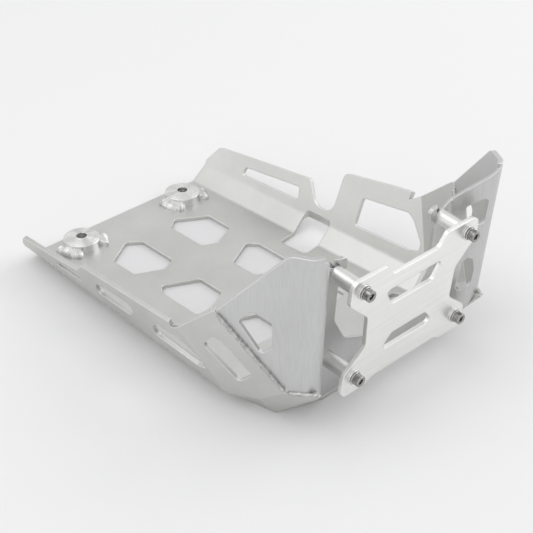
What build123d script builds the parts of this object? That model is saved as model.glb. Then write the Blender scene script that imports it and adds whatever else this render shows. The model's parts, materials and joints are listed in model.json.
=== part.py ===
"""Folded aluminium skid plate for a motorcycle. Units are millimetres, X forward, Y left, Z up."""
import math
import os
from build123d import *

sheet = 4.0               # thickness of all three plates
bend_inside = 5.0         # inside radius of the long bends
ridge_inside = 8.0        # and of the two ridges of the front plate
gap = 0.8                 # open gap at the welded corner joints
rear_x = -20.0            # rear edge of the floor
boss_y = 65.0             # each boss centre from the middle, X = 0
boss_d = 36.4
boss_top = 14.1
boss_rim = 12.4
bore_d = 10.5
screw_d = 6.0
screw_hole = 6.6
spacer_d = 14.0
spacer_len = 26.0
screw_y = 62.6
screw_heights = {"upper": 132.4, "lower": 46.2}
lean = 0.0787             # how far the middle face leans forward per mm of height
middle_x = 336.6          # front of the middle face at middle_z
middle_z = 90.8
half = sheet / 2
bead_r = 2.3              # weld beads along the seams
boss_bead_r = 4.4

bend_y = 116.0            # bend between the two steps of a flange, at the rear edge
bend_z = 16.45
wing_fold = (251.0, 149.78, 79.0)    # top of the fold between flange and wing
ridge_ahead = 35.4        # the ridge's top from the middle face
ridge_y = 104.0
front_top = 177.0


def through(normal, point):
    """A panel's middle surface: outward normal, and distance from the origin."""
    return normal, sum(n * p for n, p in zip(normal, point))


# The panels of the left side; the right side mirrors them
ridge_top = (middle_x + ridge_ahead, ridge_y, front_top)
floor = through((0, 0, -1), (0, 0, half))
lower = through((-0.0187, 0.604, -0.797), (rear_x, bend_y, bend_z))
upper = through((-0.029, 0.924, -0.381), (rear_x, bend_y, bend_z))
wing = through((0.304, 0.929, -0.211), wing_fold)
cheek = through((0.485, 0.872, -0.064), ridge_top)
inner = through((0.6626, -0.7485, -0.0277), ridge_top)
middle = ((1 / math.hypot(1, lean), 0, -lean / math.hypot(1, lean)),
          (middle_x - lean * middle_z) / math.hypot(1, lean) - half)

# Corners of the nose where panels meet
joint_heights = (113.2, 42.1)
ridge_height = 46
ridge_knee = (middle_x - 24.6, 23.4)     # X and Z, on the wing
nose_foot_x = middle_x - 45.6
nose_out = (middle_x - 22.6, 101.8, half)
nose_in_x = middle_x - 10.6


def vec(p):
    return p if isinstance(p, Vector) else Vector(*p)


def shifted(panel, by):
    return panel[0], panel[1] + by


def meet(a, b, c):
    """The point that three planes share."""
    na, nb, nc = (vec(p[0]) for p in (a, b, c))
    total = nb.cross(nc) * a[1] + nc.cross(na) * b[1] + na.cross(nb) * c[1]
    return total / na.dot(nb.cross(nc))


def level(z):
    return (0, 0, 1), z


def on_panel(panel, x, z):
    """The point of a panel's middle surface at this X and Z."""
    n, c = panel
    return Vector(x, (c - n[0] * x - n[2] * z) / n[1], z)


def soft_face(points, radius=0.0):
    """A flat face with its corners rounded; a third value on a point is that corner's own radius."""
    pts = [Vector(p[0], p[1]) for p in points]
    radii = [p[2] if len(p) > 2 else radius for p in points]
    corners = []
    for i, here in enumerate(pts):
        before, after = pts[i - 1], pts[(i + 1) % len(pts)]
        a, b = (before - here), (after - here)
        room = 0.49 * min(a.length, b.length)
        a, b = a.normalized(), b.normalized()
        turn = math.radians(a.get_angle(b)) / 2
        if radii[i] <= 0 or turn > 1.55:
            corners.append((here, None, here))
            continue
        reach = min(radii[i] / math.tan(turn), room)
        r = reach * math.tan(turn)
        mid = here + (a + b).normalized() * (r / math.sin(turn) - r)
        corners.append((here + a * reach, mid, here + b * reach))
    edges = []
    for i, (start, mid, end) in enumerate(corners):
        edges.append(Edge.make_line(corners[i - 1][2], start))
        if mid is not None:
            edges.append(Edge.make_three_point_arc(start, mid, end))
    face = Face(Wire(edges))
    return face if face.normal_at().Z > 0 else -face


def cutter(points, normal, radius=0.0, depth=40.0):
    """A prism through the points, square to the panel that has this normal."""
    base = Plane(origin=vec(points[0][:3]), z_dir=vec(normal))
    flat = []
    for p in points:
        local = base.to_local_coords(vec(p[:3]))
        flat.append((local.X, local.Y, p[3] if len(p) > 3 else radius))
    return extrude(base * soft_face(flat), amount=depth / 2, both=True)


def panel_cutter(panel, outline, radius=0.0, depth=40.0):
    """The same, with the outline given as X, Z and maybe a corner radius."""
    points = []
    for p in outline:
        at = on_panel(panel, p[0], p[1])
        points.append((at.X, at.Y, at.Z, p[2] if len(p) > 2 else radius))
    return cutter(points, panel[0], radius, depth)


def beyond(point, normal, size=700.0):
    """A block that fills the side the normal points to."""
    face = Plane(origin=vec(point), z_dir=vec(normal))
    return face * Box(size, size, size, align=(Align.CENTER, Align.CENTER, Align.MIN))


def both(shape):
    return shape + mirror(shape, about=Plane.XZ)


joint_top, joint_low = (meet(wing, cheek, level(z)) for z in joint_heights)
ridge_low = meet(cheek, inner, level(ridge_height))
nose_in = meet(floor, inner, ((1, 0, 0), nose_in_x))


def slab(points, fold=()):
    """A panel of sheet about a flat outline, with round folds along the listed sides."""
    pts = [vec(p) for p in points]
    normal = (pts[1] - pts[0]).cross(pts[2] - pts[0]).normalized()
    wire = Wire([Edge.make_line(pts[i - 1], pts[i]) for i in range(len(pts))])
    body = extrude(Face(wire), amount=half, dir=normal, both=True)
    for i in fold:
        body += rod(pts[i], pts[(i + 1) % len(pts)], half)
    return body


def rod(a, b, r, grow=0.0):
    a, b = vec(a), vec(b)
    d = (b - a).normalized()
    a, b = a - d * grow, b + d * grow
    return extrude(Plane(origin=a, z_dir=d) * Circle(r), amount=(b - a).length)


def ball(p, r):
    return Pos(*vec(p)) * Sphere(r)


def trough():
    """Floor and both flanges, one bent section drawn along the plate."""
    ends = []
    far = on_panel(upper, rear_x, 140)
    high = ((0, 0, 1), far.Z)
    start = ((1, 0, 0), rear_x - 30)
    for by in (-half, half):
        f, lo, up = shifted(floor, by), shifted(lower, by), shifted(upper, by)
        ends.append([meet(f, lo, start), meet(lo, up, start), meet(up, high, start)])
    inside, outside = ends
    r_in, r_out = bend_inside, bend_inside + sheet
    points = [(-40, sheet, 0), (inside[0].Y, inside[0].Z, r_in), (inside[1].Y, inside[1].Z, r_in),
              (inside[2].Y, inside[2].Z, 0), (outside[2].Y, outside[2].Z, 0),
              (outside[1].Y, outside[1].Z, r_out), (outside[0].Y, outside[0].Z, r_out), (-40, 0, 0)]
    section = Plane(origin=(rear_x - 30, 0, 0), x_dir=(0, 1, 0), z_dir=(1, 0, 0)) * soft_face(points)
    along = meet(lower, upper, ((1, 0, 0), 300)) - meet(lower, upper, ((1, 0, 0), 0))
    flare = along.Y / along.X
    length = 420.0
    body = extrude(section, amount=length * math.hypot(1, flare), dir=Vector(1, flare, 0).normalized())
    return body


# Outlines as X, Z and corner radius; the flanges differ, the left one clears a pipe
left_edge = [(-90, 220, 0), (-90, 21, 0), (-20.5, 21, 3), (-6, 39, 6), (63, 45, 0), (120, 49.5, 5),
             (135, 28.5, 14), (157.5, 28.5, 12), (158, 68.5, 7), (222, 77, 0),
             (251, 79.5, 0), (275, 100, 0), (275, 220, 0)]
right_edge = [(-90, 220, 0), (-90, 21, 0), (-20.5, 21, 5), (-10, 33.5, 7), (40, 40, 0), (90, 49, 3),
              (107, 64.5, 4), (185, 72.5, 0), (251, 79.5, 0), (275, 100, 0), (275, 220, 0)]
left_slots = [
    ([(32.5, 24), (35.5, 32), (110, 38), (112.5, 26)], 3.5),
    ([(187.5, 28), (254, 30), (266, 33), (265, 40), (250, 56), (242, 60), (187.5, 54.5)], 3.5),
]
right_slots = [
    ([(43, 29.5), (49, 35.5), (90, 39.5), (85, 31)], 2.4),
    ([(110, 33), (120, 50.5), (134, 53), (175, 56.5), (171, 45), (161, 34.5)], 4),
    ([(195, 32), (198, 44), (212, 57), (250, 57), (265, 49), (266, 37), (252, 31)], 4),
]
wing_slot = [(271, 68), (282, 82), (290, 79), (311, 50), (296, 36)]
bridge_hole = [(125.5, 121.5), (159.5, 122.5), (164, 82), (131, 79.5)]
floor_hex = [
    [(27, 31.5), (36.5, 18.7), (83, 18.7), (90, 34), (77, 61.5), (45, 61.5)],
    [(110, 54), (126, 21), (157, 21), (169, 44), (169, 62), (119, 62)],
    [(193, 52), (205, 21), (233, 21), (241, 34), (238, 61), (199, 61)],
]
drain = (273, 91, 11)


def nose_side():
    """Wing and the three small panels that close the nose corner, left side."""
    knee = on_panel(wing, *ridge_knee)
    low = meet(lower, upper, wing)
    foot = meet(floor, lower, ((1, 0, 0), nose_foot_x))
    top = meet(upper, wing, level(wing_fold[2] + 3))
    body = slab([low, top, joint_top, joint_low, knee], fold=(0, 3, 4))
    body += slab([foot, low, knee], fold=(0, 1, 2))
    body += slab([foot, knee, nose_out], fold=(0, 1, 2))
    body += slab([nose_out, knee, joint_low], fold=(0, 2))
    body += slab([nose_out, joint_low, ridge_low])
    body += slab([nose_in, nose_out, ridge_low], fold=(0, 1))
    for p in (low, knee, foot, nose_out):
        body += ball(p, half)
    return body, low, top, foot


def main_half(edge, slots, bridged):
    """The left half of the main plate, with the given flange outline and slots."""
    nose, low, top, foot = nose_side()
    body = trough() - wing_end(low, top, foot) - floor_end(foot) + nose
    body -= beyond((rear_x, 0, 0), (-1, 0, 0))
    body -= panel_cutter(upper, edge)
    for outline, r in slots:
        body -= panel_cutter(upper, outline, r)
    body -= panel_cutter(wing, wing_slot, 4)
    body -= panel_cutter(wing, [(240, 69.5), (joint_top.X + 6, joint_top.Z + 6), (300, 220), (240, 220)])
    if bridged:
        body -= extrude(Pos(0, 0, -1) * soft_face(bridge_hole, 5), amount=23)
    for outline in floor_hex:
        body -= extrude(Pos(0, 0, -1) * soft_face(outline, 4), amount=8)
    body -= Pos(drain[0], drain[1], 0) * Cylinder(drain[2] / 2, 20)
    body -= Pos(0, boss_y, 0) * Cylinder(bore_d / 2, 20)
    body -= joint_cut(-gap / 2)
    return body & Box(1000, 400, 400, align=(Align.CENTER, Align.MIN, Align.CENTER))


def main_plate():
    left = main_half(left_edge, left_slots, True)
    right = main_half(right_edge, right_slots, False)
    return left + mirror(right, about=Plane.XZ)


def wing_end(low, top, foot):
    """What lies ahead of the fold between flange and wing, and of the foot of that fold."""
    n = vec(upper[0]) + vec(wing[0])
    ahead = (top - low).cross(n).normalized()
    if ahead.X < 0:
        ahead = ahead * -1
    room = Box(500, 700, 400, align=(Align.MIN, Align.CENTER, Align.MIN))
    block = beyond(low, ahead) & (Pos(200, 0, low.Z) * room)
    n2 = vec(lower[0])
    ahead2 = (foot - low).cross(n2).normalized()
    if ahead2.X < 0:
        ahead2 = ahead2 * -1
    room = Box(500, 200, 21 + low.Z, align=(Align.MIN, Align.MIN, Align.MIN))
    return block + (beyond(low, ahead2) & Pos(100, foot.Y - 1.0, -20) * room)


def floor_end(foot):
    points = [(foot.X, foot.Y), (nose_out[0], nose_out[1]), (nose_in.X, nose_in.Y), (middle_foot(), 62),
              (middle_foot(), -10), (500, -10), (500, 160), (foot.X, 160)]
    return extrude(Pos(0, 0, -20) * soft_face(points), amount=45)


def middle_foot():
    """Front of the middle face at the top of the floor."""
    return middle_x + lean * (sheet - middle_z)


def nose_normal(third):
    """Outward normal of the nose panel that holds the outer corner, the ridge's foot and a third point."""
    n = (third - vec(nose_out)).cross(ridge_low - vec(nose_out)).normalized()
    return n if n.Z < 0 else n * -1


def joint_cut(side):
    """What lies ahead of the welded joints with the front plate, less or more the half gap."""
    top, low, ridge, inside = (vec(p) for p in (joint_top, joint_low, ridge_low, nose_in))
    n_w, n_c, n_i = vec(wing[0]), vec(cheek[0]), vec(inner[0])
    n_b, n_a = nose_normal(joint_low), nose_normal(nose_in)
    sign = 1 if side < 0 else -1
    m1 = (n_c - n_w).normalized()
    m2 = (n_c - n_b).normalized()
    m3 = (n_i - n_a).normalized()
    b1 = beyond(top + m1 * side, m1 * sign)
    b2 = beyond(low + m2 * side, m2 * sign)
    b3 = beyond(ridge + m3 * side, m3 * sign)
    if side < 0:
        return (b1 & b2 & outer_half(True)) + (b3 & outer_half(False))
    return ((b1 + b2) & outer_half(True)) + (b3 & outer_half(False))


def outer_half(outside):
    """The room outside or inside the ridge of the front plate, above the floor inside."""
    n = (vec(cheek[0]) - vec(inner[0])).normalized()
    low_corner = (0, 0, -100) if outside else (nose_out[0] - half, nose_in.Y, sheet)
    room = Pos(*low_corner) * Box(600, 400, 500, align=(Align.MIN, Align.MIN, Align.MIN))
    return beyond(ridge_low, n if outside else n * -1) & room


def front_section(z):
    """The M of the front plate at one height, as a face."""
    h = level(z)
    end = ((0, 1, 0), 175)
    sides = []
    for by in (half, -half):
        c, i, m = shifted(cheek, by), shifted(inner, by), shifted(middle, by)
        sides.append([meet(c, h, end), meet(c, i, h), meet(i, m, h)])
    front, back = sides
    r_in, r_out = bend_inside, bend_inside + sheet
    pts = [(front[0].X, front[0].Y, 0), (front[1].X, front[1].Y, ridge_inside + sheet), (front[2].X, front[2].Y, r_in)]
    pts += [(x, -y, r) for x, y, r in reversed(pts)]
    rear = [(back[0].X, back[0].Y, 0), (back[1].X, back[1].Y, ridge_inside), (back[2].X, back[2].Y, r_out)]
    pts += [(x, -y, r) for x, y, r in rear] + list(reversed(rear))
    return Pos(0, 0, z) * soft_face(pts)


ear_top = 143.5
cutout = [(50, ear_top, 5), (50, 133, 4), (58, 124, 8), (58, 83, 8), (43, 57, 10), (16, 45, 10)]
# Holes of the front plate's sides, as X from the middle face, and Z
cheek_hole = [(-30.1, 107), (-18.6, 118.5), (-5.6, 110.5), (-6.6, 86), (-15.1, 77)]
inner_holes = [
    [(12.4, 137), (22.9, 146), (26.4, 145), (24.4, 122), (13.9, 118)],
    [(11.9, 81), (17.9, 89), (19.9, 73), (18.4, 59), (7.9, 47)],
]


def from_middle(outline):
    return [(middle_x + x, z) for x, z in outline]


def front_plate():
    body = loft([front_section(-10), front_section(200)], ruled=True)
    body -= both(joint_cut(gap / 2))
    # standing on the floor
    body -= Pos(0, 0, sheet) * Box(1200, 2 * ridge_low.Y, 100, align=(Align.CENTER, Align.CENTER, Align.MAX))
    top = on_panel(cheek, middle_x + 9.4, front_top)
    crest = vec(ridge_top)
    fold_top = meet(inner, middle, level(ear_top))
    side = cutter([(*vec(joint_top) + Vector(-60, 30, -72), 0), (*top, 9),
                   (*(crest + (crest - top) * 0.9), 0),
                   (*(crest + (crest - top) * 0.9 + Vector(0, 0, 80)), 0), (200, 220, 260, 0)], cheek[0], depth=30)
    slope = cutter([(*(crest + (crest - fold_top) * 0.5), 0), (*fold_top, 0),
                    (*(fold_top + (fold_top - crest) * 0.25), 0),
                    (*(fold_top + (fold_top - crest) * 0.25 + Vector(0, 0, 90)), 0),
                    (*(crest + (crest - fold_top) * 0.5 + Vector(0, 0, 90)), 0)], inner[0], depth=60)
    side += slope & beyond(ridge_low, vec(inner[0]) - vec(cheek[0]))
    body -= both(side)
    outline = [(fold_top.Y, 220, 0), (fold_top.Y, ear_top, 0)] + cutout
    shape = outline + [(-y, z, r) for y, z, r in reversed(outline)]
    body -= extrude(Plane(origin=(300, 0, 0), x_dir=(0, 1, 0), z_dir=(1, 0, 0)) * soft_face(shape), amount=80)
    holes = panel_cutter(cheek, from_middle(cheek_hole), 4)
    for outline in inner_holes:
        holes += panel_cutter(inner, from_middle(outline), 3, depth=24)
    for z in screw_heights.values():
        holes += along_screw(z, screw_hole / 2, -20, 20)
    body -= both(holes)
    return body


def screw_axis(z):
    """Where a screw meets the front of the middle face, and the way it points."""
    n = Vector(1, 0, -lean).normalized()
    return Vector(middle_x + lean * (z - middle_z), screw_y, z), n


def along_screw(z, r, a, b):
    at, n = screw_axis(z)
    return extrude(Plane(origin=at + n * a, z_dir=n) * Circle(r), amount=b - a)


def screw_plane(z, at):
    origin, n = screw_axis(z)
    return Plane(origin=origin + n * at, x_dir=(0, 1, 0), z_dir=n)


bracket_edge = [(28, 133, 6), (36, 144.5, 5), (75, 144.5, 8), (76, 124, 6), (53, 102, 8), (51.5, 71, 8),
                (74.5, 52, 8), (76, 28.5, 8), (48, 29, 6), (38, 33.5, 8)]
upper_opening = [(35.5, 119, 4), (25, 102, 4)]
lower_opening = [(20.5, 70.5, 4), (34, 56, 4)]


def bracket_plate():
    """In its own plane: Y across, and height measured up the leaning plate."""
    origin = Vector(middle_x - lean * middle_z, 0, 0) + Vector(1, 0, -lean).normalized() * spacer_len
    face = Plane(origin=origin, x_dir=(0, 1, 0), z_dir=(1, 0, -lean))
    outline = bracket_edge + [(-y, z, r) for y, z, r in reversed(bracket_edge)]
    body = extrude(face * soft_face(outline), amount=sheet)
    for opening in (upper_opening, lower_opening):
        hole = opening + [(-y, z, r) for y, z, r in reversed(opening)]
        body -= extrude(face * soft_face(hole), amount=20, both=True)
    for z in screw_heights.values():
        body -= both(along_screw(z, screw_hole / 2, -5, 60))
    return body


def boss():
    profile = soft_face([(bore_d / 2, sheet, 0), (boss_d / 2, sheet, 0), (boss_d / 2, boss_rim, 1.2),
                         (bore_d / 2, boss_top, 0)])
    upright = Plane(origin=(0, 0, 0), x_dir=(1, 0, 0), z_dir=(0, -1, 0))
    return revolve(upright * profile, axis=Axis.Z)


def boss_bead(a, b):
    """A fillet of weld round the foot of a boss, from angle a to angle b."""
    upright = Plane(origin=(0, 0, 0), x_dir=(1, 0, 0), z_dir=(0, -1, 0))
    ring = upright * (Pos(boss_d / 2, sheet) * Circle(boss_bead_r))
    body = revolve(ring, axis=Axis.Z, revolution_arc=b - a).rotate(Axis.Z, a)
    for angle in (a, b):
        x, y = boss_d / 2 * math.cos(math.radians(angle)), boss_d / 2 * math.sin(math.radians(angle))
        body += Pos(x, y, sheet) * Sphere(boss_bead_r)
    body -= Pos(0, 0, 0) * Cylinder(boss_d / 2, 60)
    body -= Pos(0, 0, sheet) * Box(200, 200, 40, align=(Align.CENTER, Align.CENTER, Align.MAX))
    return body


def hex_bolt(z):
    head = 4.0
    plane = screw_plane(z, -sheet - head)
    body = extrude(plane * RegularPolygon(5.0, 6, major_radius=False), amount=head)
    return body + along_screw(z, screw_d / 2, -sheet, spacer_len + sheet + 12.5)


def hex_nut(z, at):
    plane = screw_plane(z, at)
    return extrude(plane * (RegularPolygon(5.0, 6, major_radius=False) - Circle(screw_d / 2)), amount=5.0)


def ring(z, at, r, hole, t):
    return extrude(screw_plane(z, at) * (Circle(r) - Circle(hole)), amount=t)


def spring_washer(z, at):
    body = ring(z, at, 5.5, screw_d / 2 + 0.2, 1.6)
    split = screw_plane(z, at) * Pos(4.4, 0, 0.8) * Rot(25, 0, 0) * Box(6, 0.8, 8)
    return body - split


def save(nodes):
    """Moves everything so that the origin is below the middle of the whole part, and writes the files."""
    boxes = [shape.bounding_box() for shape in nodes.values()]
    middle_of = (min(b.min.X for b in boxes) + max(b.max.X for b in boxes)) / 2
    shift = Pos(-middle_of, 0, -min(b.min.Z for b in boxes))
    print("moved by", shift.position)
    os.makedirs("parts", exist_ok=True)
    for name, shape in nodes.items():
        solids = shape.solids()
        print(name, len(solids), round(sum(s.volume for s in solids), 1))
        export_step(shift * (solids[0] if len(solids) == 1 else Compound(solids)), f"parts/{name}.step")


def main():
    nodes = {}
    main = main_plate()
    front = front_plate()
    bracket = bracket_plate()
    nodes["main_plate"], nodes["front_plate"], nodes["bracket_plate"] = main, front, bracket
    for side, sign in (("left", 1), ("right", -1)):
        def put(shape):
            return shape if sign > 0 else mirror(shape, about=Plane.XZ)
        nodes[f"boss_{side}"] = Pos(0, sign * boss_y, 0) * boss()
        nodes[f"boss_bead_{side}_rear"] = Pos(0, sign * boss_y, 0) * boss_bead(-113, -35)
        nodes[f"boss_bead_{side}_front"] = Pos(0, sign * boss_y, 0) * boss_bead(45, 80)
        for name, z in screw_heights.items():
            front_of = spacer_len + sheet
            tag = f"{name}_{side}"
            nodes[f"spacer_{tag}"] = put(ring(z, 0, spacer_d / 2, screw_hole / 2, spacer_len))
            nodes[f"bolt_{tag}"] = put(hex_bolt(z))
            nodes[f"washer_{tag}"] = put(ring(z, front_of, 6.6, screw_hole / 2 - 0.1, 1.6))
            nodes[f"spring_washer_{tag}"] = put(spring_washer(z, front_of + 1.6))
            nodes[f"nut_{tag}"] = put(hex_nut(z, front_of + 3.2))
        out = (vec(wing[0]) + vec(cheek[0])).normalized() * (bead_r + 0.15)
        run = joint_low - joint_top
        seam = rod(joint_top + out + run * 0.02, joint_low + out - run * 0.02, bead_r)
        seam_in = rod(joint_top - out + run * 0.06, joint_low - out - run * 0.3, bead_r)
        out = (vec(cheek[0]) + nose_normal(joint_low)).normalized() * (bead_r - 0.3)
        seam_nose = rod(joint_low + out, ridge_low + out, bead_r) - seam
        for name, bead in (("joint_bead", seam), ("inner_bead", seam_in), ("nose_bead", seam_nose)):
            nodes[f"{name}_{side}"] = put(bead) - main - front
    save(nodes)
    print(len(nodes), "nodes")


main()
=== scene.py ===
import json
import math
import bmesh
import bpy
import numpy as np
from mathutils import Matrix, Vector


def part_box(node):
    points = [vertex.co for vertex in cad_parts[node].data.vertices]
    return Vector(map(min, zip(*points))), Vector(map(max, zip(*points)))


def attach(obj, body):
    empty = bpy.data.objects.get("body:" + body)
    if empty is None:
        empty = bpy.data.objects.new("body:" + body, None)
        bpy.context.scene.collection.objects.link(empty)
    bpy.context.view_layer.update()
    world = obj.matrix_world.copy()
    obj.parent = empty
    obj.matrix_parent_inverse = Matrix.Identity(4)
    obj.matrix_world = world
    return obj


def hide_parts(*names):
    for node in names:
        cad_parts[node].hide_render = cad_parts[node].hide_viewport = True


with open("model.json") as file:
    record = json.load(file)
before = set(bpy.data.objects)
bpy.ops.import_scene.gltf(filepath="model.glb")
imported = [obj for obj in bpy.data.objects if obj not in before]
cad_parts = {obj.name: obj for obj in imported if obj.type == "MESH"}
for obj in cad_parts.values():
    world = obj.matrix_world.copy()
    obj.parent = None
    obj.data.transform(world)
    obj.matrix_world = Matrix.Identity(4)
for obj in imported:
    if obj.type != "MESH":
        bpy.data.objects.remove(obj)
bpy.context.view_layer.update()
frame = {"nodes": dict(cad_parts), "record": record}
nodes = frame["nodes"]
sides = ("left", "right")


def middleOf(node):
    low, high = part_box(node)
    return (low + high) / 2


bossX, bossY = middleOf("boss_left").x, middleOf("boss_left").y
print("frame loaded,", len(nodes), "pieces")


class Signal:  # a node's output, so that shader maths reads as plain sums

    def __init__(self, recipe, socket):
        self.recipe, self.socket = recipe, socket

    def combine(self, other, operation, flipped=False):
        first, second = (other, self) if flipped else (self, other)
        return self.recipe.add("Math", {"operation": operation}, {0: first, 1: second})

    def __add__(self, other): return self.combine(other, "ADD")
    def __radd__(self, other): return self.combine(other, "ADD", True)
    def __sub__(self, other): return self.combine(other, "SUBTRACT")
    def __rsub__(self, other): return self.combine(other, "SUBTRACT", True)
    def __mul__(self, other): return self.combine(other, "MULTIPLY")
    def __rmul__(self, other): return self.combine(other, "MULTIPLY", True)
    def __truediv__(self, other): return self.combine(other, "DIVIDE")
    def __rtruediv__(self, other): return self.combine(other, "DIVIDE", True)
    def __pow__(self, other): return self.combine(other, "POWER")
    def __rpow__(self, other): return self.combine(other, "POWER", True)


class Recipe:  # one material and the nodes that make its surface

    def __init__(self, name, roughness, metallic=1.0, specular=0.5):
        self.material = bpy.data.materials.new(name)
        self.material.use_nodes = True
        self.tree = self.material.node_tree
        self.shader = self.tree.nodes["Principled BSDF"]
        self.shader.inputs["Roughness"].default_value = roughness
        self.shader.inputs["Metallic"].default_value = metallic
        self.shader.inputs["Specular IOR Level"].default_value = specular

    def add(self, kind, settings=None, sockets=None, out=0):
        node = self.tree.nodes.new("ShaderNode" + kind)
        for key, value in (settings or {}).items():
            setattr(node, key, value)
        for key, value in (sockets or {}).items():
            if isinstance(value, Signal):
                self.tree.links.new(value.socket, node.inputs[key])
            elif node.inputs[key].type == "RGBA":
                node.inputs[key].default_value = (*value, 1)
            else:
                node.inputs[key].default_value = value
        return Signal(self, node.outputs[out])

    def feed(self, **inputs):
        names = {"baseColor": "Base Color", "roughness": "Roughness", "normal": "Normal"}
        for key, value in inputs.items():
            self.tree.links.new(value.socket, self.shader.inputs[names[key]])

    def coordinates(self):  # the object's own, the same from every side
        return self.add("TexCoord", out=3)

    def split(self, where):
        return [self.add("SeparateXYZ", {}, {0: where}, out=k) for k in (0, 1)]

    def absolute(self, value):
        return self.add("Math", {"operation": "ABSOLUTE"}, {0: value})

    def noise(self, wavesPerMetre, detail, roughness=0.55):
        where = self.add("Mapping", {}, {"Vector": self.coordinates(), "Scale": wavesPerMetre})
        return self.add("TexNoise", {}, {"Vector": where, "Scale": 1.0, "Detail": detail,
                                         "Roughness": roughness})

    def blend(self, factor, dark, light):
        return self.add("Mix", {"data_type": "RGBA"}, {0: factor, 6: dark, 7: light}, out=2)

    def rounded(self, radius):
        return self.add("Bevel", {"samples": 6}, {"Radius": radius})

    def bump(self, height, strength, distance, rounded=None):
        sockets = {"Height": height, "Strength": strength, "Distance": distance}
        if rounded:
            sockets["Normal"] = rounded
        return self.add("Bump", {}, sockets)


# Grain is waves per metre along X, Y and Z: long lines run along the small number
finish = {
    "satinPlate": {"dark": (0.57, 0.57, 0.555), "light": (0.70, 0.70, 0.683),
                   "grain": (160, 520, 520), "roughness": 0.42, "lines": 0.25, "bump": 0.05},
    "frontPlate": {"dark": (0.54, 0.543, 0.54), "light": (0.68, 0.683, 0.68),
                   "grain": (900, 900, 20), "roughness": 0.40, "lines": 0.50, "bump": 0.08},
    "bracketPlate": {"dark": (0.84, 0.84, 0.82), "light": (0.97, 0.97, 0.95),
                     "grain": (900, 14, 700), "roughness": 0.40, "lines": 0.70, "bump": 0.16},
    "spacerMetal": {"dark": (0.68, 0.68, 0.67), "light": (0.86, 0.86, 0.85),
                    "grain": (300, 900, 900), "roughness": 0.40, "lines": 0.40, "bump": 0.05},
    # the stainless is dark to stand in for the dark reflections in the polished heads and nuts: a
    # painted reflection
    "stainless": {"dark": (0.07, 0.067, 0.063), "light": (0.52, 0.51, 0.50),
                  "grain": (330, 330, 330), "roughness": 0.18, "lines": 0.50, "bump": 0.05},
    "washerSteel": {"dark": (0.50, 0.50, 0.49), "light": (0.88, 0.88, 0.87),
                    "grain": (420, 420, 420), "roughness": 0.24, "lines": 0.50, "bump": 0.05},
}
brushing = {"smears": (14, 14, 14), "specks": (1100, 1100, 1100), "speckShare": 0.10,
            "smearShare": 0.90, "middle": 0.30, "contrast": 2.4, "depth": 0.0003,
            "polish": 0.09, "dullLines": 0.10, "dullSmears": 0.08,
            # the edge gain and colour paint a highlight along every edge
            "edgeRadius": 0.0014, "edgeHighlightGain": 3.2, "edgeHighlightColour": (0.95, 0.95, 0.94)}


def brushedMetal(name):
    look = finish[name]
    r = Recipe(name, look["roughness"])
    lines = r.noise(look["grain"], 5.0, 0.62)
    smears = r.noise(brushing["smears"], 3.0)
    specks = r.noise(brushing["specks"], 2.0)
    tone = (lines * look["lines"] + smears * (brushing["smearShare"] - look["lines"])
            + specks * brushing["speckShare"])
    plain = r.blend((tone - brushing["middle"]) * brushing["contrast"], look["dark"], look["light"])
    rounded = r.rounded(brushing["edgeRadius"])
    flat = r.add("NewGeometry", out=1)
    facing = r.add("VectorMath", {"operation": "DOT_PRODUCT"}, {0: rounded, 1: flat}, out=1)
    edge = (1 - facing) * brushing["edgeHighlightGain"]  # edges are painted bright: a painted highlight along the arrises, partly rubbed wear
    dull = lines * brushing["dullLines"] + smears * brushing["dullSmears"]
    r.feed(baseColor=r.blend(edge, plain, brushing["edgeHighlightColour"]),
           roughness=look["roughness"] - brushing["polish"] + dull,
           normal=r.bump(lines, look["bump"], brushing["depth"], rounded))
    return r.material


turning = {"dark": (0.56, 0.56, 0.55), "light": (0.94, 0.94, 0.93), "roughness": 0.24,
           "groovesPerMetre": 2600, "grooveShare": 0.45, "highlightFan": 1.1, "highlightFanShare": 0.55,
           "middle": 0.33, "contrast": 3.0, "polish": 0.08, "dullGrooves": 0.16,
           "bump": 0.75, "depth": 0.0005, "edge": 0.0005}


def turnedMetal():  # grooves in circles round each boss axis, and a painted fan of highlights across them
    r = Recipe("turnedMetal", turning["roughness"])
    x, y = r.split(r.coordinates())
    x, y = x - bossX, r.absolute(y) - bossY
    radius = (x * x + y * y) ** 0.5
    grooves = r.add("TexNoise", {"noise_dimensions": "1D"},
                    {"W": radius * turning["groovesPerMetre"], "Scale": 1.0, "Detail": 3.0})
    around = r.add("CombineXYZ", {}, {0: x / radius, 1: y / radius})
    highlightFan = r.add("TexNoise", {}, {"Vector": around, "Scale": turning["highlightFan"], "Detail": 1.0})
    tone = grooves * turning["grooveShare"] + highlightFan * turning["highlightFanShare"] - turning["middle"]
    r.feed(baseColor=r.blend(tone * turning["contrast"], turning["dark"], turning["light"]),
           roughness=turning["roughness"] - turning["polish"] + grooves * turning["dullGrooves"],
           normal=r.bump(grooves, turning["bump"], turning["depth"], r.rounded(turning["edge"])))
    return r.material


weldTones = {"seamWeld": {"dark": (0.38, 0.38, 0.38), "light": (0.66, 0.66, 0.65), "soot": 260},
             "footWeld": {"dark": (0.52, 0.52, 0.51), "light": (0.95, 0.95, 0.94), "soot": 140}}
weldSkin = {"spots": 420, "middle": 0.36, "contrast": 3.0, "roughness": 0.26, "dullSpots": 0.24,
            "bump": 0.35, "depth": 0.0007}


def weldMetal(name):
    look = weldTones[name]
    r = Recipe(name, weldSkin["roughness"])
    spots = r.noise((weldSkin["spots"],) * 3, 4.0)
    soot = r.noise((look["soot"],) * 3, 4.0)
    tone = (soot - weldSkin["middle"]) * weldSkin["contrast"]
    r.feed(baseColor=r.blend(tone, look["dark"], look["light"]),
           roughness=weldSkin["roughness"] + spots * weldSkin["dullSpots"],
           normal=r.bump(spots, weldSkin["bump"], weldSkin["depth"]))
    return r.material


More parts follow.
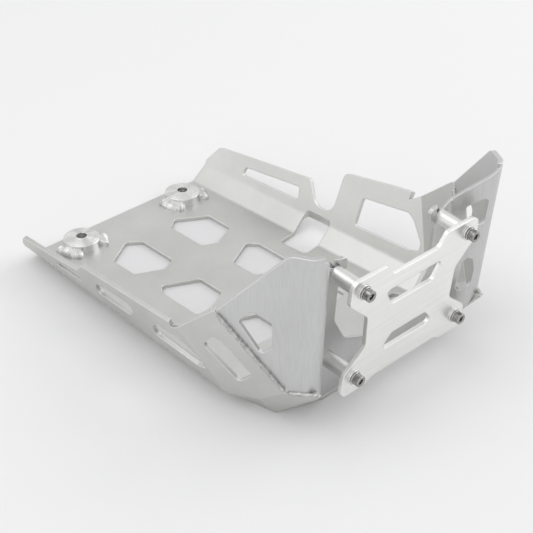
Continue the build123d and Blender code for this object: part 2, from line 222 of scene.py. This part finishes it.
metals = {name: brushedMetal(name) for name in finish}
metals.update({name: weldMetal(name) for name in weldTones})
metals["turnedMetal"] = turnedMetal()
metalOf = {"satin_plate": "satinPlate", "front_plate": "frontPlate",
           "bracket_plate": "bracketPlate", "spacer": "spacerMetal", "boss": "turnedMetal",
           "bolt": "stainless", "stainless": "stainless", "weld": "seamWeld"}
slotOf = {part["node"]: part["material_slot"] for part in frame["record"]["subparts"]}
for name, piece in nodes.items():
    metal = "washerSteel" if name.startswith("washer_") else metalOf[slotOf[name]]
    piece.data.materials.clear()
    piece.data.materials.append(metals[metal])
print("metals on every plate and fastener")


def skinned(name, mesh, rings, metal, smooth=False):  # faces between rings, with a lid at each end
    for ringA, ringB in zip(rings, rings[1:]):
        for k in range(len(ringA)):
            n = (k + 1) % len(ringA)
            mesh.faces.new((ringA[k], ringA[n], ringB[n], ringB[k]))
    mesh.faces.new(rings[0][::-1])
    mesh.faces.new(rings[-1])
    bmesh.ops.recalc_face_normals(mesh, faces=mesh.faces)
    data = bpy.data.meshes.new(name)
    mesh.to_mesh(data)
    mesh.free()
    for face in data.polygons:
        face.use_smooth = smooth
    data.materials.append(metals[metal])
    piece = bpy.data.objects.new(name, data)
    bpy.context.scene.collection.objects.link(piece)
    return piece


def fitted(piece, slot, *hidden):  # rides on the part, and stands for the nodes that it hides
    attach(piece, "root")
    if hidden:
        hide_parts(*hidden)


# A ring of a bead is wide across and high above its path, and dips below it by sunk times high
seamWeld = {"wide": 0.0023, "high": 0.0019, "cap": 0.0021, "pitch": 0.0024, "ripple": 0.12,
            "sway": 0.10, "sunk": 1.0, "metal": "seamWeld", "inset": 0.0008}
bossWeld = {"wide": 0.0092, "high": 0.0062, "cap": 0.0030, "pitch": 0.0024, "ripple": 0.09,
            "sway": 0.03, "sunk": 0.15, "metal": "footWeld", "lift": 0.0002, "steps": 16,
            "arcs": {"rear": (-112, -31), "front": (36, 88)}}  # degrees round the boss
beadMesh = {"sides": 20, "ringsPerPitch": 6, "tip": 0.03, "swayPerMetre": 410,
            "wander": 2.0, "wanderPerMetre": 173}


def beadAlong(name, points, bead):  # a weld of overlapping drops along a path
    points = [Vector(p) for p in points]
    lengths = [0.0]
    for a, b in zip(points, points[1:]):
        lengths.append(lengths[-1] + (b - a).length)
    total = lengths[-1]
    steps = max(4, int(total / bead["pitch"] * beadMesh["ringsPerPitch"]))
    mesh = bmesh.new()
    rings = []
    for i in range(steps + 1):
        s = total * i / steps
        k = max(j for j in range(len(points) - 1) if lengths[j] <= s + 1e-12)
        t = (s - lengths[k]) / max(lengths[k + 1] - lengths[k], 1e-9)
        at = points[k].lerp(points[k + 1], t)
        along = (points[k + 1] - points[k]).normalized()
        across = along.cross(Vector((0, 0, 1))).normalized() * bead["wide"]
        other = across.cross(along).normalized() * bead["high"]
        fromEnd = min(1.0, min(s, total - s) / bead["cap"])
        cap = math.sqrt(max(0.0, 1 - (1 - fromEnd) ** 2))
        wave = 1 - bead["ripple"] * (1 - abs(math.sin(math.pi * s / bead["pitch"])))
        wander = beadMesh["wander"] * math.sin(s * beadMesh["wanderPerMetre"])
        wave += bead["sway"] * math.sin(s * beadMesh["swayPerMetre"] + wander)  # an uneven hand
        size = max(beadMesh["tip"], cap) * wave
        ring = []
        for j in range(beadMesh["sides"]):
            a = 2 * math.pi * j / beadMesh["sides"]
            height = max(math.sin(a), -bead["sunk"])
            ring.append(mesh.verts.new(at + (across * math.cos(a) + other * height) * size))
        rings.append(ring)
    return skinned(name, mesh, rings, bead["metal"], smooth=True)


def longAxis(node):  # ends of a straight bead, from its own solid
    corners = np.array([v.co for v in nodes[node].data.vertices])
    middle = corners.mean(axis=0)
    along = np.linalg.svd(corners - middle)[2][0]
    reach = (corners - middle) @ along
    ends = (reach.min() + seamWeld["inset"], reach.max() - seamWeld["inset"])
    return [Vector(middle + along * s) for s in ends]


def arcRound(boss, first, last):  # points round the foot of a boss
    low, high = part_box(boss)
    centre = (low + high) / 2
    radius = (high.x - low.x) / 2
    points = []
    for k in range(bossWeld["steps"] + 1):
        angle = math.radians(first + (last - first) * k / bossWeld["steps"])
        points.append((centre.x + radius * math.cos(angle), centre.y + radius * math.sin(angle),
                       low.z + bossWeld["lift"]))
    return points


for side in sides:
    for kind in ("joint_bead", "inner_bead", "nose_bead"):
        node = kind + "_" + side
        bead = beadAlong(node + "_ripples", longAxis(node), seamWeld)
        fitted(bead, "weld", node)
    for place, (first, last) in bossWeld["arcs"].items():
        node = "boss_bead_" + side + "_" + place
        bead = beadAlong(node + "_ripples", arcRound("boss_" + side, first, last), bossWeld)
        fitted(bead, "weld", node)
print("welds laid")


screw = {"headRadius": 0.0050, "headHeight": 0.0060, "chamfer": 0.0006, "rim": 0.0003,
         "socketApothem": 0.0025, "socketDepth": 0.0032, "socketCone": 0.0006,
         "socketMouth": 0.0006, "centre": 0.0002, "shaftRadius": 0.0030, "tail": 0.0022,
         "thread": 0.0010, "threads": 8, "root": 0.0005, "point": 0.0006}
nut = {"apothem": 0.0050, "height": 0.0050, "bore": 0.0028, "chamfer": 0.0004,
       "freeChamfer": 0.0005, "countersink": 0.0006}
turnedSides = 48
plateThickness = 0.004  # of the middle face, between the spacers and the rear nuts


def turnedPiece(name, rings, origin, axis):
    # each ring is radius, height and whether it is a hexagon
    across = axis.orthogonal().normalized()
    other = axis.cross(across)
    mesh = bmesh.new()
    loops = []
    for radius, height, sixSided in rings:
        loop = []
        for k in range(turnedSides):
            angle = 2 * math.pi * k / turnedSides
            reach = radius
            if sixSided:
                reach /= math.cos((angle + math.pi / 6) % (math.pi / 3) - math.pi / 6)
            spoke = across * math.cos(angle) + other * math.sin(angle)
            loop.append(mesh.verts.new(origin + axis * height + spoke * reach))
        loops.append(loop)
    return skinned(name, mesh, loops, "stainless")


def screwRings(length):  # from the socket over the head and down the shaft, heights from its seat
    top, bevel, rim = screw["headHeight"], screw["chamfer"], screw["rim"]
    head, shaft, socket = screw["headRadius"], screw["shaftRadius"], screw["socketApothem"]
    bottom = top - screw["socketDepth"]
    rings = [(screw["centre"], bottom - screw["socketCone"], False), (socket, bottom, True),
             (socket, top - rim, True), (socket + screw["socketMouth"], top, False),
             (head - bevel, top, False), (head, top - bevel, False),
             (head, rim, False), (head - rim, 0.0, False), (shaft, 0.0, False)]
    for k in range(screw["threads"]):
        at = -length + (screw["threads"] - k) * screw["thread"]
        rings += [(shaft, at, False), (shaft - screw["root"], at - screw["thread"] / 2, False)]
    return rings + [(shaft - screw["point"], -length, False)]


def nutRings():  # from the seat to the free face
    high, flat, bore, bevel = nut["height"], nut["apothem"], nut["bore"], nut["chamfer"]
    return [(bore, 0.0, False), (flat - bevel / 2, 0.0, False), (flat, bevel, True),
            (flat, high - nut["freeChamfer"], True), (flat - bevel, high, False),
            (bore + nut["countersink"], high, False), (bore, high - nut["countersink"], False)]


def endsAlong(node, axis):  # how far a node reaches along an axis
    reach = [v.co.dot(axis) for v in nodes[node].data.vertices]
    return min(reach), max(reach)


for side in sides:
    for row in ("upper", "lower"):
        tag = row + "_" + side
        line = middleOf("spacer_" + tag)
        axis = (middleOf("nut_" + tag) - line).normalized()
        seat = endsAlong("spring_washer_" + tag, axis)[1] - line.dot(axis)
        back = endsAlong("spacer_" + tag, axis)[0] - line.dot(axis) - plateThickness
        length = seat - back + nut["height"] + screw["tail"]
        cap = turnedPiece("cap_screw_" + tag, screwRings(length), line + axis * seat, axis)
        fitted(cap, "bolt", "bolt_" + tag, "nut_" + tag)  # its head sits where the nut was
        rear = turnedPiece("rear_nut_" + tag, nutRings(), line + axis * back, -axis)
        fitted(rear, "stainless")
print("screws and nuts fitted")


studio = {"floor": (0.70, 0.70, 0.70), "seenFloor": (0.81, 0.81, 0.815), "floorSize": 12.0,
          "worldStrength": 0.84, "aim": (0, 0, 0.05),
          "lamps": [("key", (-0.5, -0.9, 2.3), 1.8, 11), ("side", (1.6, -1.8, 1.5), 1.8, 5),
                    ("back", (0.2, 2.2, 1.4), 1.8, 10), ("low", (-1.7, -2.6, 0.7), 1.6, 4),
                    ("front", (1.5, 1.9, 1.3), 1.2, 6)]}  # place, size and power
paintedShadeUnderPlate = {"colour": (0.70, 0.70, 0.71), "x": (-0.20, 0.155), "y": 0.10,
              "soft": 0.03}  # painted shade on the ground under the plate, seen through the holes


def floorPaint():  # brighter where the camera or a reflection sees it, with a painted shade under the plate
    r = Recipe("floorPaint", 0.9, 0.0, 0.1)
    camera, glossy, transmission = (r.add("LightPath", out=k) for k in (0, 3, 6))
    plain = r.blend(camera + glossy + transmission, studio["floor"], studio["seenFloor"])
    x, y = r.split(r.coordinates())
    first, last = paintedShadeUnderPlate["x"]
    fromMiddle = r.absolute(x - (first + last) / 2)
    inX = ((last - first) / 2 - fromMiddle) * (1 / paintedShadeUnderPlate["soft"])
    inY = (paintedShadeUnderPlate["y"] - r.absolute(y)) * (1 / paintedShadeUnderPlate["soft"])
    # painted shade: a soft darkening inside the plate's footprint
    paintedShade = r.add("Clamp", {}, {0: inX}) * r.add("Clamp", {}, {0: inY})
    r.feed(baseColor=r.blend(paintedShade, plain, paintedShadeUnderPlate["colour"]))
    return r.material


def buildStudio():
    bpy.ops.mesh.primitive_plane_add(size=studio["floorSize"], location=(0, 0, 0))
    floor = bpy.context.object
    floor.name = "floor"
    floor.data.materials.append(floorPaint())
    world = bpy.data.worlds.new("studio")
    world.use_nodes = True
    ground = world.node_tree.nodes["Background"]
    ground.inputs["Color"].default_value = (1, 1, 1, 1)
    ground.inputs["Strength"].default_value = studio["worldStrength"]
    bpy.context.scene.world = world
    for name, place, size, power in studio["lamps"]:
        data = bpy.data.lights.new(name, "AREA")
        data.size, data.energy = size, power
        lamp = bpy.data.objects.new(name, data)
        lamp.location = place
        aim = Vector(studio["aim"]) - Vector(place)
        lamp.rotation_euler = aim.to_track_quat("-Z", "Y").to_euler()
        bpy.context.scene.collection.objects.link(lamp)


# The camera's place is measured from the bosses' axes, and look is the way it points
view = {"place": (0.92725, -0.69439, 0.70658), "look": (-0.6057, 0.5748, -0.5505),
        "lens": 89.65, "sensor": 36}


def buildCamera():
    data = bpy.data.cameras.new("camera")
    data.sensor_width, data.lens = view["sensor"], view["lens"]
    camera = bpy.data.objects.new("camera", data)
    camera.location = Vector(view["place"]) + Vector((bossX, 0, 0))
    camera.rotation_euler = Vector(view["look"]).to_track_quat("-Z", "Y").to_euler()
    bpy.context.scene.collection.objects.link(camera)
    bpy.context.scene.camera = camera


buildStudio()
buildCamera()
bpy.context.scene.view_settings.view_transform = "Standard"
